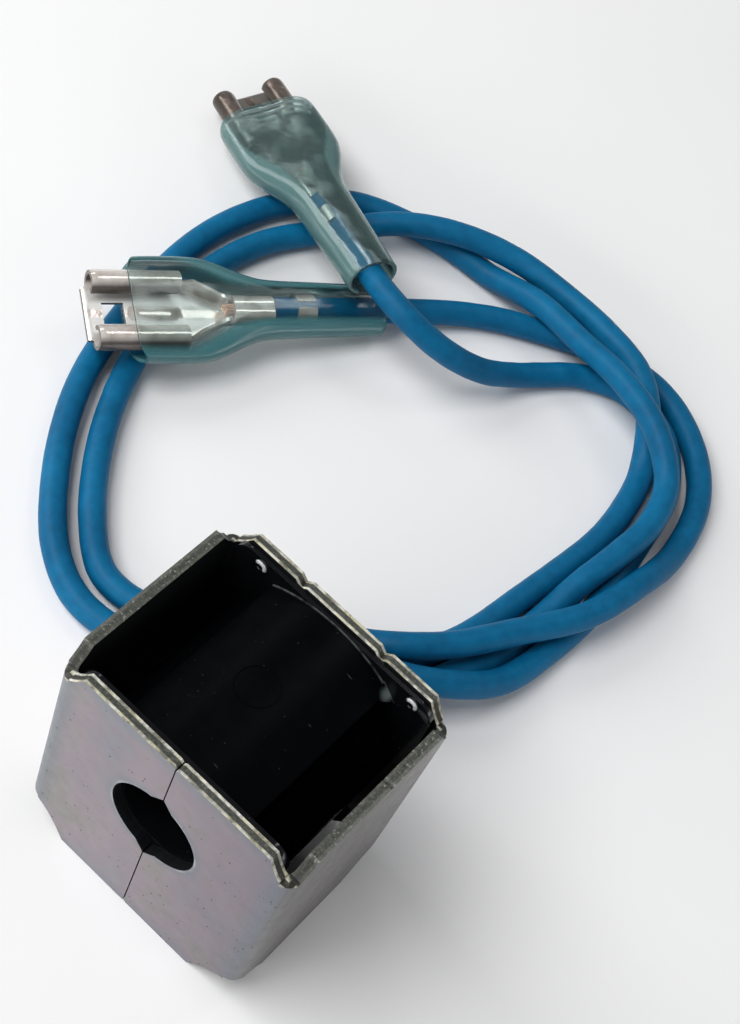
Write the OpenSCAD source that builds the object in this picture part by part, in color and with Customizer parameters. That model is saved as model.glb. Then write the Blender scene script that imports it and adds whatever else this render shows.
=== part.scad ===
// Reversing valve coil: a folded steel yoke around a moulded coil, with two
// loose leads that end in push-on receptacles under clear vinyl sleeves.
// Millimetres. Origin at the bottom centre of the yoke, +Z up, the plate with
// the seam faces -Y, the bore runs along Y.

/* [Yoke] */
// Width of the yoke over its side walls
yoke_w = 22.5; // [22.3:0.1:23.5]
// Depth of the yoke over its front and back plates
yoke_d = 18.2; // [18:0.1:19]
// Height of the yoke
yoke_h = 25.6; // [25.4:0.1:27]
// Thickness of the steel strip
strip_t = 0.9; // [0.8:0.05:1.2]
// Outer radius of the four bends
bend_r = 1.4; // [1.3:0.1:2]
// Radius of the hole in the front and back plates
plate_hole_r = 4.05; // [4:0.05:4.2]
// Width of the seam where the strip's ends meet
seam_w = 0.1; // [0.1:0.02:0.3]
// Depth of the notch in the upper rim at the bends
relief_h = 2.3; // [1.8:0.1:2.6]
// Reach of the upper notch along each wall
relief_l = 2.4; // [2:0.1:3]
// Depth of the notch in the lower rim at the bends
foot_h = 3.4; // [2.4:0.1:3.6]
// Reach of the lower notch along each wall
foot_l = 4.3; // [3:0.1:4.5]

/* [Coil] */
// Height of the bore's axis above the base
bore_z = 15.3; // [15:0.1:15.5]
// Radius of the bore through the bobbin
bore_r = 3.8; // [3.7:0.05:3.85]
// Outer radius of the bobbin's tube
tube_r = 4.8; // [4.6:0.1:5]
// Thickness of the bobbin's end flanges
flange_t = 0.5; // [0.4:0.05:0.7]
// Outer radius of the copper winding
winding_r = 7.2; // [6.8:0.1:7.4]
// Thickness of the tape over the winding
tape_t = 0.2; // [0.1:0.05:0.3]
// Outer radius of the moulding around the winding
mould_r = 8.7; // [8.4:0.1:9]
// Radius of the crowned pad on top of the moulding
crown_r = 10.05; // [9.8:0.05:10.1]
// Half the width of the crowned pad
crown_hw = 5.8; // [5:0.1:6.5]

/* [Leads] */
// Diameter of each lead over its insulation
lead_d = 2.5; // [2.3:0.1:2.5]
// Distance between the two leads where they leave the moulding
lead_pitch = 2.8; // [2.8:0.1:3.2]
// Height of the leads where they leave the moulding
lead_z = 1.9; // [1.8:0.1:2]

/* [Terminals] */
// Half the width of the receptacle over its rolled edges
recept_hw = 3.95; // [3.8:0.05:4]
// Thickness of the receptacle's sheet
recept_t = 0.4; // [0.35:0.05:0.4]
// Length of the rolled edges, measured from the mouth
roll_l = 9.2; // [8:0.1:9.4]
// Overall length of the receptacle
recept_l = 22.4; // [22.2:0.1:22.8]
// How far the first receptacle's mouth stands out of its sleeve
expose_1 = 4.5; // [4:0.1:5]
// How far the second receptacle's mouth stands out of its sleeve
expose_2 = 4.0; // [3:0.1:4.5]
// Length of the vinyl sleeve
sleeve_l = 25.5; // [25:0.1:26]
// Half the width of the sleeve at its mouth
sleeve_hw = 5.25; // [5.1:0.05:5.3]
// Half the height of the sleeve at its mouth
sleeve_hh = 2.3; // [2.2:0.05:2.4]
// Wall thickness of the sleeve
sleeve_t = 0.4; // [0.3:0.05:0.4]

/* [Hidden] */
$fn = 64;

in_w = yoke_w - 2 * strip_t;          // clear width inside the yoke
in_d = yoke_d - 2 * strip_t;          // clear depth inside the yoke
coil_d = in_d;                        // the bobbin fills the depth
wind_d = coil_d - 2 * flange_t;       // winding length between the flanges
tape_r = winding_r + tape_t;
lead_r = lead_d / 2;
exit_y = yoke_d / 2 - 0.1;            // face where the leads come out
core_y = 4.5;                         // inner end of the lead's insulation
notch_w = 6.4;                        // notch in the back plate for the lead block
notch_h = 3.6;
lead_end = 18.3;                      // where the insulation stops, from the mouth
wire_from = 14.0;                     // where the bare strands stop, from the mouth
leads = [1, -1];                      // side of the centre on which each lead leaves
expose = [expose_1, expose_2];
straight = 30;                        // the lead runs straight out of the terminal this far from the mouth

// Where each terminal lies: its mouth, then heading, dip and roll in degrees.
// Its own +X runs from the mouth back to the lead.
mouth = [[-52.8, 61, 2.5], [-40.6, 25.7, 6.2]];
heading = [-24.5, 57.5];
dip = [-10.2, 7.5];
roll = [8, 13];

// Routes of the two leads over the floor, from the moulding to the terminal.
route_1 = [[2, 15, 1.4], [4.3, 22.4, 1.3], [7, 30, 1.3], [7.7, 36.5, 1.5], [8.1, 41.5, 2.9],
    [8.7, 46, 3.7], [8.9, 51, 4.1], [7.3, 56, 4.3], [3, 59.2, 5.5], [-2.5, 61.3, 5.4], [-9, 62.8, 4.2],
    [-14.5, 63.5, 3.7], [-21, 64.1, 1.3], [-29, 62.9, 1.3], [-36, 59.6, 1.3], [-40.4, 53.2, 1.3],
    [-42.2, 45.5, 1.3], [-41.8, 38, 1.3], [-40.2, 30.5, 1.3], [-37.4, 22.5, 1.3], [-32.4, 14.7, 1.3],
    [-26, 8.4, 1.3], [-21, 6.4, 1.3], [-15.8, 7.3, 1.3], [-9.8, 12.2, 1.3], [-3.4, 17, 3.5],
    [2, 20, 4.2], [6.2, 23.2, 4.1], [9.1, 28, 2.4], [10.2, 35, 1.3], [10.4, 42.5, 1.3],
    [9.2, 50, 1.3], [7.6, 57.5, 1.3], [3.6, 62.6, 1.3], [-2.2, 64.1, 1.3], [-6.6, 61.9, 1.3],
    [-9.4, 58.6, 1.4], [-11, 56, 1.9], [-13.2, 52, 3.8], [-16.7, 48.9, 6.2], [-21.2, 47.6, 8.1]];
route_2 = [[-0.8, 15, 1.4], [1.5, 22.5, 1.3], [4.1, 30.2, 1.3], [5, 36.5, 1.3], [5.7, 42, 1.3],
    [6.2, 47.5, 1.3], [5.8, 52.5, 1.3], [4.4, 57.5, 1.5], [1.2, 61.7, 3.6], [-2.6, 64.8, 4], [-8, 66.2, 3.9],
    [-13.8, 67, 3.2], [-19.6, 66.3, 3.4], [-25.5, 63.4, 3.9], [-30.6, 59.6, 3.3], [-35, 54.4, 1.5],
    [-38, 48.5, 1.3], [-39, 41.5, 1.3], [-38.1, 34.5, 1.3], [-35.9, 27.5, 1.3], [-32, 20, 1.3],
    [-26.2, 13, 1.3], [-21.4, 9.8, 1.3], [-16.4, 10.5, 1.3], [-10.8, 15.2, 1.3], [-4.3, 19.8, 1.9],
    [0.8, 22.8, 3.9], [4.1, 26.6, 4], [7.3, 32.2, 4], [10.6, 38.5, 3.9], [12, 45.5, 3.4],
    [12.2, 52.5, 1.3], [10.4, 59.3, 1.3], [6.2, 64.3, 1.3], [0.2, 67, 1.3], [-6.4, 66.2, 1.3],
    [-13, 62.9, 1.3], [-18.6, 58.8, 1.3]];
routes = [route_1, route_2];

// A point on terminal i's axis, s from its mouth
function axis_dir(i) = [cos(dip[i]) * cos(heading[i]), cos(dip[i]) * sin(heading[i]), -sin(dip[i])];
function on_axis(i, s) = mouth[i] + s * axis_dir(i);

// The whole centreline of lead i: out of the moulding, over the floor, into the terminal
function centreline(i) = concat(
    [[leads[i] * lead_pitch / 2, core_y, lead_z], [leads[i] * lead_pitch / 2, exit_y + 0.5, lead_z]],
    routes[i],
    [on_axis(i, straight), on_axis(i, straight - 6), on_axis(i, lead_end)]);

function unit(v) = v / norm(v);
function tangent(p, i) = unit(p[min(i + 1, len(p) - 1)] - p[max(i - 1, 0)]);
function ring(c, t, r, n) = let (a = unit(cross(t, [0, 0, 1])), b = cross(a, t))
    [for (k = [0:n - 1]) c + r * (cos(360 * k / n) * a + sin(360 * k / n) * b)];

// Tube of n sides along the points p
module tube(p, r, n = 8) {
    m = len(p);
    pts = [for (i = [0:m - 1]) each ring(p[i], tangent(p, i), r, n)];
    sides = [for (i = [0:m - 2]) for (k = [0:n - 1])
        let (a = i * n + k, b = i * n + (k + 1) % n) each [[a, b, b + n], [a, b + n, a + n]]];
    polyhedron(pts, concat([[for (k = [n - 1:-1:0]) k]], sides, [[for (k = [0:n - 1]) (m - 1) * n + k]]));
}

// Closed skin over a loop of rings, for a shell that is open at both ends
module skin(rings) {
    m = len(rings); n = len(rings[0]);
    pts = [for (q = rings) each q];
    polyhedron(pts, [for (i = [0:m - 1]) for (k = [0:n - 1])
        let (a = i * n + k, b = i * n + (k + 1) % n, c = ((i + 1) % m) * n + (k + 1) % n, d = ((i + 1) % m) * n + k)
        each [[a, b, c], [a, c, d]]]);
}

// Rounded section of the sleeve at s: half width w, half height h
function sgnpow(v, e) = sign(v) * pow(abs(v), e);
function section(s, w, h, n = 32) = [for (k = [0:n - 1])
    [s, -w * sgnpow(cos(360 * k / n), 0.77), h * sgnpow(sin(360 * k / n), 0.77)]];

module at_terminal(i) { translate(mouth[i]) rotate([0, dip[i], heading[i]]) rotate([roll[i], 0, 0]) children(); }
module along_y(r, y0, y1) { translate([0, y1, 0]) rotate([90, 0, 0]) cylinder(r = r, h = y1 - y0); }
module along_x(r, x0, x1) { translate([x0, 0, 0]) rotate([0, 90, 0]) cylinder(r = r, h = x1 - x0); }

// Rectangle with round corners
module rounded(w, d, r) {
    square([w - 2 * r, d], center = true);
    square([w, d - 2 * r], center = true);
    for (x = [-1, 1], y = [-1, 1]) translate([x * (w / 2 - r), y * (d / 2 - r)]) circle(r = r);
}

// Half of a corner notch of depth h and reach l: the space above a curve that rises away from the bend
module notch_half(h, l) {
    polygon(concat([[1, 7], [1, 0]], [for (k = [0:9]) let (t = k * 1.25 * l / 9) [-t, h * pow(t / l, 2)]], [[-1.25 * l, 7]]));
}

// One strip of plated steel folded into a ring, its ends meeting at the front
module yoke_frame() {
    color("#a39da3") difference() {
        linear_extrude(height = yoke_h) difference() {
            rounded(yoke_w, yoke_d, bend_r);
            rounded(in_w, in_d, bend_r - strip_t);
        }
        translate([0, 0, bore_z]) along_y(plate_hole_r, -yoke_d, yoke_d);
        // seam, eased where it meets the hole and the rims
        translate([-seam_w / 2, -yoke_d / 2 - 1, -1]) cube([seam_w, strip_t + 1.5, yoke_h + 2]);
        for (z = [bore_z - plate_hole_r + 0.1, bore_z + plate_hole_r - 0.1])
            translate([0, -in_d / 2, z]) rotate([0, 45, 0]) cube([1.4, 4 * strip_t, 1.4], center = true);
        for (z = [0, yoke_h])
            translate([0, -in_d / 2, z]) rotate([0, 45, 0]) cube([0.35, 4 * strip_t, 0.35], center = true);
        // notches in both rims at the four bends
        for (x = [0, 1], y = [0, 1], z = [0, 1]) let (h = z == 0 ? relief_h : foot_h, l = z == 0 ? relief_l : foot_l)
            mirror([x, 0, 0]) mirror([0, y, 0]) translate([0, 0, yoke_h / 2]) mirror([0, 0, z])
                translate([yoke_w / 2, yoke_d / 2, yoke_h / 2 - h]) {
                    translate([0, 1, 0]) rotate([90, 0, 0]) linear_extrude(height = strip_t + 1.2) notch_half(h, l);
                    translate([-strip_t - 0.2, 0, 0]) rotate([90, 0, 90]) linear_extrude(height = strip_t + 1.2) notch_half(h, l);
                }
        // two nicks in the back rim and one in the right rim
        for (x = [-3.95, 3.95]) translate([x, in_d / 2, yoke_h]) rotate([0, 45, 0]) cube([0.8, 4 * strip_t, 0.8], center = true);
        translate([in_w / 2, 1.2, yoke_h]) rotate([45, 0, 0]) cube([4 * strip_t, 0.4, 0.4], center = true);
        // notch for the lead block
        translate([-notch_w / 2, 0, -1]) cube([notch_w, yoke_d, notch_h + 1]);
    }
}

// Moulded spool: the tube that takes the valve's stem, with two thin end flanges
module bobbin() {
    flange_w = in_w - 2 * (bend_r - strip_t) - 0.1;
    flange_h = in_w - 0.7;
    color("#0c0d10") translate([0, 0, bore_z]) difference() {
        union() {
            along_y(tube_r, -coil_d / 2, coil_d / 2);
            for (y = [-coil_d / 2, coil_d / 2 - flange_t]) translate([0, y, 0]) {
                translate([-flange_w / 2 + 1.6, 0, -flange_h / 2]) cube([flange_w - 3.2, flange_t, flange_h]);
                translate([-flange_w / 2, 0, -flange_h / 2 + 1.6]) cube([flange_w, flange_t, flange_h - 3.2]);
                for (x = [-1, 1], z = [-1, 1]) translate([x * (flange_w / 2 - 1.6), 0, z * (flange_h / 2 - 1.6)])
                    along_y(1.6, 0, flange_t);
            }
            // two pips on the back flange
            for (x = [-7.3, 7.8]) translate([x, coil_d / 2 - flange_t, 9.1]) rotate([90, 0, 0]) {
                translate([0, 0, -0.1]) cylinder(r = 0.4, h = 0.2);
                rotate_extrude() translate([0.4, 0]) circle(r = 0.2, $fn = 24);
            }
        }
        along_y(bore_r, -coil_d, coil_d);
        translate([-20, coil_d / 2, -20]) cube([40, 5, 40]);
    }
}

// Enamelled copper wire wound on the spool
module copper_winding() {
    color("#b5622d") translate([0, 0, bore_z]) difference() {
        along_y(winding_r, -wind_d / 2, wind_d / 2);
        along_y(tube_r, -wind_d, wind_d);
    }
}

// Tape wrapped over the winding, pierced by the wire's two ends
module winding_tape() {
    color("#c9a93f") difference() {
        translate([0, 0, bore_z]) along_y(tape_r, -wind_d / 2, wind_d / 2);
        translate([0, 0, bore_z]) along_y(winding_r, -wind_d, wind_d);
        for (s = leads) translate([s * lead_pitch / 2, 2.6, 2]) cylinder(r = 0.2, h = 8);
    }
}

// Black moulding: a round body, a crowned pad on top, a block at the foot for the leads
module coil_overmold() {
    color("#0a0b0d") difference() {
        union() {
            translate([0, 0, bore_z]) along_y(mould_r, -wind_d / 2, wind_d / 2);
            intersection() {
                translate([0, 0, bore_z]) along_y(crown_r, -wind_d / 2, wind_d / 2);
                translate([-crown_hw, -yoke_d, bore_z]) cube([2 * crown_hw, 2 * yoke_d, yoke_h]);
            }
            // fillet where the pad meets the back flange, with a small web at its right end
            intersection() {
                translate([0, wind_d / 2, bore_z]) rotate([90, 0, 0]) cylinder(r1 = crown_r + 0.14, r2 = crown_r - 0.1, h = 0.24);
                translate([-crown_hw, -yoke_d, bore_z]) cube([2 * crown_hw, 2 * yoke_d, yoke_h]);
            }
            translate([crown_hw, wind_d / 2, bore_z + sqrt(pow(crown_r, 2) - pow(crown_hw, 2))])
                polyhedron([[-0.6, 0, 0.75], [-0.05, -1.25, -0.03], [0.9, 0, -0.65], [-0.6, 0, -0.6]],
                           [[0, 2, 1], [0, 1, 3], [1, 2, 3], [0, 3, 2]]);
            translate([-3.1, 1, 0.3]) cube([6.2, wind_d / 2 - 1, 7.4]);
            translate([-3.1, 1, 0.3]) cube([6.2, exit_y - 1, notch_h - 0.5]);
        }
        translate([0, 0, bore_z]) along_y(tape_r, -wind_d, wind_d);
        // faint ring left by the ejector pin
        difference() {
            translate([-0.5, -0.2, bore_z + crown_r - 1]) cylinder(r = 1.75, h = 2);
            translate([-0.5, -0.2, bore_z + crown_r - 2]) cylinder(r = 1.6, h = 4);
            translate([0, 0, bore_z]) along_y(crown_r - 0.07, -wind_d, wind_d);
        }
        for (s = leads) translate([s * lead_pitch / 2, 0, lead_z]) {
            along_y(lead_r, core_y, yoke_d);
            along_y(0.9, 1.8, core_y + 0.1);
            translate([0, 2.6, 0]) cylinder(r = 0.2, h = 9);
        }
    }
}

// End of the coil wire, down to its splice
module coil_tail(s) { color("#b5622d") translate([s * lead_pitch / 2, 2.6, lead_z + 0.6]) cylinder(r = 0.2, h = 6); }
module coil_tail_1() { coil_tail(leads[0]); }
module coil_tail_2() { coil_tail(leads[1]); }

// Crimped barrel that joins the coil wire to the lead's strands
module splice(s) { color("#c8c6c0") translate([s * lead_pitch / 2, 0, lead_z]) along_y(0.9, 1.8, core_y); }
module splice_1() { splice(leads[0]); }
module splice_2() { splice(leads[1]); }

module lead_1() { color("#14639b") tube(centreline(0), lead_r); }
module lead_2() { color("#14639b") tube(centreline(1), lead_r); }

// Bare strands inside the terminal's wire crimp
module conductor(i) { color("#c47a3e") at_terminal(i) along_x(0.6, wire_from, lead_end); }
module conductor_1() { conductor(0); }
module conductor_2() { conductor(1); }

// Push-on receptacle: floor plate, two rolled edges, neck, wire crimp, insulation crimp
module receptacle(i) {
    roll_r = 1.2;
    floor_z = -1.4;
    roll_y = recept_hw - roll_r;
    color("#b9b4ae") at_terminal(i) difference() {
        union() {
            // floor plate and neck, with the stop window for the tab
            translate([0, 0, floor_z]) linear_extrude(height = recept_t) difference() {
                polygon([[0, -roll_y - 0.1], [roll_l, -roll_y - 0.1], [roll_l + 1, -roll_y], [wire_from, -1.1], [recept_l - 0.5, -1.1],
                         [recept_l - 0.5, 1.1], [wire_from, 1.1], [roll_l + 1, roll_y], [roll_l, roll_y + 0.1], [0, roll_y + 0.1]]);
                translate([1.7, -1.05]) square([2.1, 2.1]);
            }
            // rolled edges, curled over so that a tab slides in under them
            for (m = [0, 1]) mirror([0, m, 0]) translate([0.5, 0, 0]) rotate([90, 0, 90]) linear_extrude(height = roll_l - 0.5)
                difference() {
                    translate([roll_y, floor_z + roll_r]) circle(r = roll_r, $fn = 48);
                    translate([roll_y, floor_z + roll_r]) circle(r = roll_r - recept_t, $fn = 48);
                    translate([roll_y - roll_r - 0.1, floor_z - 0.1]) square([roll_r + 0.1, roll_r + 0.2]);
                }
            // side walls of the neck
            for (m = [0, 1]) mirror([0, m, 0]) translate([0, 0, floor_z + 0.05]) linear_extrude(height = 1.7)
                polygon([[roll_l + 0.4, roll_y - 0.05], [roll_l + 1, roll_y - 0.05], [wire_from + 0.2, 1.05], [wire_from + 0.2, 0.65], [roll_l + 0.8, roll_y - 0.45], [roll_l + 0.4, roll_y - 0.45]]);
            // wire crimp and insulation crimp
            along_x(1.3, wire_from, lead_end - 0.1);
            translate([wire_from, -1, floor_z + 0.05]) cube([lead_end - 0.1 - wire_from, 2, 0.9]);
            along_x(1.5, recept_l - 2, recept_l);
        }
        along_x(0.6, wire_from - 1, lead_end + 0.1);
        along_x(lead_r, lead_end - 0.05, recept_l + 1);
    }
}
module receptacle_1() { receptacle(0); }
module receptacle_2() { receptacle(1); }

// Clear vinyl sleeve, wide over the receptacle and narrow over the crimps
sleeve_shape = [[0, sleeve_hw, sleeve_hh], [6, sleeve_hw, sleeve_hh], [8, sleeve_hw - 0.3, sleeve_hh], [9.5, 4.35, 2.25],
    [11, 3.75, 2.2], [13, 3.2, 2.1], [15, 3, 2.05], [17.5, 2.85, 2], [sleeve_l, 2.6, 2]];
module sleeve(i) {
    n = len(sleeve_shape);
    color("#8fb0ad", 0.4) at_terminal(i) translate([expose[i], 0, 0]) skin(concat(
        [for (q = sleeve_shape) section(q[0], q[1], q[2])],
        [for (j = [n - 1:-1:0]) let (q = sleeve_shape[j]) section(q[0], q[1] - sleeve_t, q[2] - sleeve_t)]));
}
module sleeve_1() { sleeve(0); }
module sleeve_2() { sleeve(1); }

yoke_frame();
bobbin();
copper_winding();
winding_tape();
coil_overmold();
coil_tail_1();
coil_tail_2();
splice_1();
splice_2();
lead_1();
lead_2();
conductor_1();
conductor_2();
receptacle_1();
receptacle_2();
sleeve_1();
sleeve_2();
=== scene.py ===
"""Looks of the reversing valve coil: yoke, moulded coil, two blue leads with sleeved push-on receptacles."""
import math

import bpy
import numpy as np
from mathutils import Matrix


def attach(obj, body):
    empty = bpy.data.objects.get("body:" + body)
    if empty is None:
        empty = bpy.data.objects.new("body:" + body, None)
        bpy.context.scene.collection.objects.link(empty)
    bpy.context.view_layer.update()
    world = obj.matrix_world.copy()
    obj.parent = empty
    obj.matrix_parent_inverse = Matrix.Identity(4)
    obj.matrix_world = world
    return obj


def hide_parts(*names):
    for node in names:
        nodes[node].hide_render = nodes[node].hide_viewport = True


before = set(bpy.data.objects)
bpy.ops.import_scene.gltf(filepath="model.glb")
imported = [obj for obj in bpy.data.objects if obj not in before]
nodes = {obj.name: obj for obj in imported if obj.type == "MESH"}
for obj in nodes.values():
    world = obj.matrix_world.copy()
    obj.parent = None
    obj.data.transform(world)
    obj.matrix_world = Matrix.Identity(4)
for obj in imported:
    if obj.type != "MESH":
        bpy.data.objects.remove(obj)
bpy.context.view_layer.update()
scene = bpy.context.scene
MM = 0.001


# ---------------------------------------------------------------- camera
RIGHT = np.array([0.73067, 0.63516, 0.25037])
DOWN = np.array([0.65576, -0.55087, -0.51626])
FORWARD = np.array([-0.18999, 0.54140, -0.81902])
EYE = np.array([21.896, -58.854, 140.19]) * MM
cam_data = bpy.data.cameras.new("camera")
cam_data.sensor_fit = "AUTO"
cam_data.sensor_width = 36.0
cam_data.lens = 65.04
cam_data.clip_start = 0.001
cam_data.clip_end = 20.0
cam = bpy.data.objects.new("camera", cam_data)
scene.collection.objects.link(cam)
view = np.eye(4)
view[:3, 0], view[:3, 1], view[:3, 2], view[:3, 3] = RIGHT, -DOWN, -FORWARD, EYE
cam.matrix_world = Matrix(view.tolist())
scene.camera = cam
scene.view_settings.view_transform = "Standard"


# ---------------------------------------------------------------- routes and terminal frames, millimetres
MOUTH = np.array([[-52.8, 61.0, 2.5], [-40.6, 25.7, 6.2]])
HEADING = [-24.5, 57.5]
DIP = [-10.2, 7.5]
ROLL = [8.0, 13.0]
EXPOSE = [4.5, 4.0]
LEAD_END = 18.3
LEAD_R = 1.25
ROUTES = [
    [[2, 15, 1.4], [4.3, 22.4, 1.3], [7, 30, 1.3], [7.7, 36.5, 1.5], [8.1, 41.5, 2.9], [8.7, 46, 3.7], [8.9, 51, 4.1], [7.3, 56, 4.3],
     [3, 59.2, 5.5], [-2.5, 61.3, 5.4], [-9, 62.8, 4.2], [-14.5, 63.5, 3.7], [-21, 64.1, 1.3], [-29, 62.9, 1.3], [-36, 59.6, 1.3],
     [-40.4, 53.2, 1.3], [-42.2, 45.5, 1.3], [-41.8, 38, 1.3], [-40.2, 30.5, 1.3], [-37.4, 22.5, 1.3], [-32.4, 14.7, 1.3],
     [-26, 8.4, 1.3], [-21, 6.4, 1.3], [-15.8, 7.3, 1.3], [-9.8, 12.2, 1.3], [-3.4, 17, 3.5], [2, 20, 4.2], [6.2, 23.2, 4.1],
     [9.1, 28, 2.4], [10.2, 35, 1.3], [10.4, 42.5, 1.3], [9.2, 50, 1.3], [7.6, 57.5, 1.3], [3.6, 62.6, 1.3], [-2.2, 64.1, 1.3],
     [-6.6, 61.9, 1.3], [-9.4, 58.6, 1.4], [-11, 56, 1.9], [-13.2, 52, 3.8], [-16.7, 48.9, 6.2], [-21.2, 47.6, 8.1]],
    [[-0.8, 15, 1.4], [1.5, 22.5, 1.3], [4.1, 30.2, 1.3], [5, 36.5, 1.3], [5.7, 42, 1.3], [6.2, 47.5, 1.3], [5.8, 52.5, 1.3],
     [4.4, 57.5, 1.5], [1.2, 61.7, 3.6], [-2.6, 64.8, 4], [-8, 66.2, 3.9], [-13.8, 67, 3.2], [-19.6, 66.3, 3.4], [-25.5, 63.4, 3.9],
     [-30.6, 59.6, 3.3], [-35, 54.4, 1.5], [-38, 48.5, 1.3], [-39, 41.5, 1.3], [-38.1, 34.5, 1.3], [-35.9, 27.5, 1.3], [-32, 20, 1.3],
     [-26.2, 13, 1.3], [-21.4, 9.8, 1.3], [-16.4, 10.5, 1.3], [-10.8, 15.2, 1.3], [-4.3, 19.8, 1.9], [0.8, 22.8, 3.9], [4.1, 26.6, 4],
     [7.3, 32.2, 4], [10.6, 38.5, 3.9], [12, 45.5, 3.4], [12.2, 52.5, 1.3], [10.4, 59.3, 1.3], [6.2, 64.3, 1.3], [0.2, 67, 1.3],
     [-6.4, 66.2, 1.3], [-13, 62.9, 1.3], [-18.6, 58.8, 1.3]],
]
EXIT = [(1.4, 9.0, 1.9), (-1.4, 9.0, 1.9)]


def terminal_frame(i):
    h, d, r = (math.radians(v) for v in (HEADING[i], DIP[i], ROLL[i]))
    rz = np.array([[math.cos(h), -math.sin(h), 0], [math.sin(h), math.cos(h), 0], [0, 0, 1]])
    ry = np.array([[math.cos(d), 0, math.sin(d)], [0, 1, 0], [-math.sin(d), 0, math.cos(d)]])
    rx = np.array([[1, 0, 0], [0, math.cos(r), -math.sin(r)], [0, math.sin(r), math.cos(r)]])
    return rz @ ry @ rx


FRAMES = [terminal_frame(0), terminal_frame(1)]


def place(i, pts):
    """Points of terminal i from its own frame (s from mouth to lead, y across, z up) to the object's frame."""
    return np.asarray(pts, float) @ FRAMES[i].T + MOUTH[i]


def centreline(i):
    x = EXIT[i][0]
    ends = [place(i, [s, 0, 0]) for s in (30.0, 24.0, LEAD_END)]
    return np.array([[x, 4.5, 1.9], [x, 9.5, 1.9]] + ROUTES[i] + [e.tolist() for e in ends], float)


def smooth_path(pts, per=10):
    """Centripetal Catmull-Rom curve through the points."""
    pts = np.asarray(pts, float)
    p = np.vstack([2 * pts[0] - pts[1], pts, 2 * pts[-1] - pts[-2]])
    out = []
    for k in range(1, len(p) - 2):
        q = p[k - 1:k + 3]
        t = np.concatenate([[0], np.cumsum(np.sqrt(np.linalg.norm(np.diff(q, axis=0), axis=1)))])
        for u in np.linspace(t[1], t[2], per, endpoint=False):
            a = [(t[j + 1] - u) / (t[j + 1] - t[j]) * q[j] + (u - t[j]) / (t[j + 1] - t[j]) * q[j + 1] for j in range(3)]
            b = [(t[j + 2] - u) / (t[j + 2] - t[j]) * a[j] + (u - t[j]) / (t[j + 2] - t[j]) * a[j + 1] for j in range(2)]
            out.append((t[2] - u) / (t[2] - t[1]) * b[0] + (u - t[1]) / (t[2] - t[1]) * b[1])
    out.append(pts[-1])
    return np.array(out)


# ---------------------------------------------------------------- mesh helpers
def new_mesh(name, verts_mm, faces, attrs=None):
    me = bpy.data.meshes.new(name)
    me.from_pydata((np.asarray(verts_mm, float) * MM).tolist(), [], faces)
    me.validate(clean_customdata=False)
    for key, values in (attrs or {}).items():
        a = me.attributes.new(key, "FLOAT", "POINT")
        a.data.foreach_set("value", np.asarray(values, np.float32))
    me.shade_smooth()
    me.update()
    ob = bpy.data.objects.new(name, me)
    scene.collection.objects.link(ob)
    return ob


def add_bevel(ob, width_mm, segments=2, angle=35.0):
    m = ob.modifiers.new("edge", "BEVEL")
    m.width = width_mm * MM
    m.segments = segments
    m.limit_method = "ANGLE"
    m.angle_limit = math.radians(angle)
    m.harden_normals = False
    m.miter_outer = "MITER_ARC"
    return m


def sharp_by_angle(ob, angle=40.0):
    ob.data.set_sharp_from_angle(angle=math.radians(angle))


def tube(name, path, radii, sides=24, attr=None):
    """Closed tube along a path with a radius at each point and flat end caps."""
    path = np.asarray(path, float)
    radii = np.broadcast_to(np.asarray(radii, float), (len(path),))
    tan = np.gradient(path, axis=0)
    tan /= np.linalg.norm(tan, axis=1)[:, None]
    n = np.cross(tan[0], [0, 0, 1.0])
    if np.linalg.norm(n) < 1e-3:
        n = np.cross(tan[0], [1.0, 0, 0])
    n /= np.linalg.norm(n)
    verts, along = [], []
    dist = np.concatenate([[0], np.cumsum(np.linalg.norm(np.diff(path, axis=0), axis=1))])
    ang = np.linspace(0, 2 * math.pi, sides, endpoint=False)
    for k in range(len(path)):
        n = n - tan[k] * (n @ tan[k])
        n /= np.linalg.norm(n)
        b = np.cross(tan[k], n)
        ring = path[k] + radii[k] * (np.cos(ang)[:, None] * n + np.sin(ang)[:, None] * b)
        verts.extend(ring.tolist())
        along.extend([dist[k]] * sides)
    faces = []
    for k in range(len(path) - 1):
        for j in range(sides):
            a, b2 = k * sides + j, k * sides + (j + 1) % sides
            faces.append((a, b2, b2 + sides, a + sides))
    faces.append(tuple(reversed(range(sides))))
    faces.append(tuple(range((len(path) - 1) * sides, len(path) * sides)))
    return new_mesh(name, verts, faces, {"along": along} if attr is None else attr)


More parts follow.
